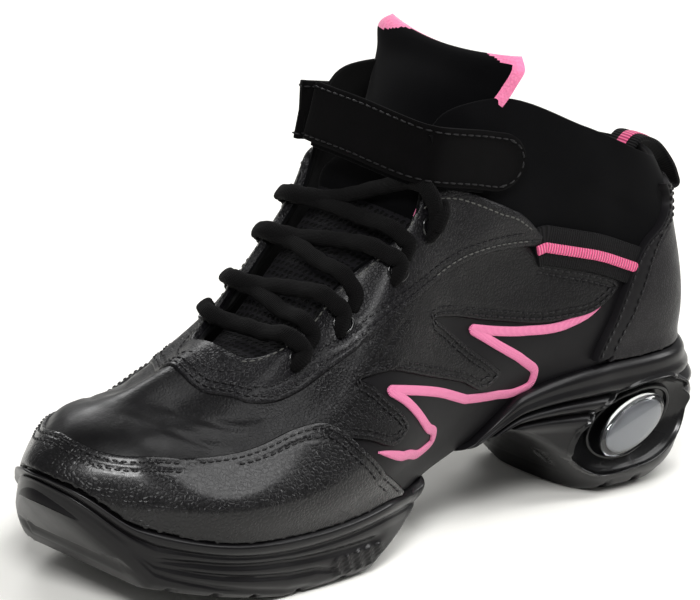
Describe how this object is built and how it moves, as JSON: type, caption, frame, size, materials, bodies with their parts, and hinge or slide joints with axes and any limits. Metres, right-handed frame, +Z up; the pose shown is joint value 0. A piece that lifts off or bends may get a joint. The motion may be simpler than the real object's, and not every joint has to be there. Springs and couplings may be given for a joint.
{
  "type": "dance sneaker",
  "caption": "Black high-cut dance sneaker with a split sole, laced throat, padded tongue and a strap round the ankle.",
  "frame": {"origin": "on the floor, in the middle of the flat spot under the heel", "axes": "+X towards the toe, +Y towards the outer side of the foot, +Z up"},
  "size_m": [0.2631, 0.0932, 0.1506],
  "materials": {
    "soft_leather": "smooth, semi-matt",
    "pebbled_leather": "pebbled grain, semi-gloss",
    "nubuck": "matt nap",
    "webbing": "ribbed tape with a pink stripe",
    "lace_cord": "braided, matt",
    "insole_foam": "matt",
    "black_rubber": "moulded, satin",
    "clear_capsule": "clear, glossy"
  },
  "bodies": {
    "root": {"upper": "soft_leather", "toe_guard": "pebbled_leather", "eyestay": "pebbled_leather", "quarter": "pebbled_leather", "heel_counter": "pebbled_leather", "tape_outer": "webbing", "tape_inner": "webbing", "tongue": "nubuck", "ankle_strap": "nubuck", "pull_loop": "webbing", "lace": "lace_cord", "insole": "insole_foam", "sole_forefoot": "black_rubber", "sole_heel": "black_rubber", "capsule_outer": "clear_capsule", "capsule_inner": "clear_capsule"}
  },
  "joints": []
}
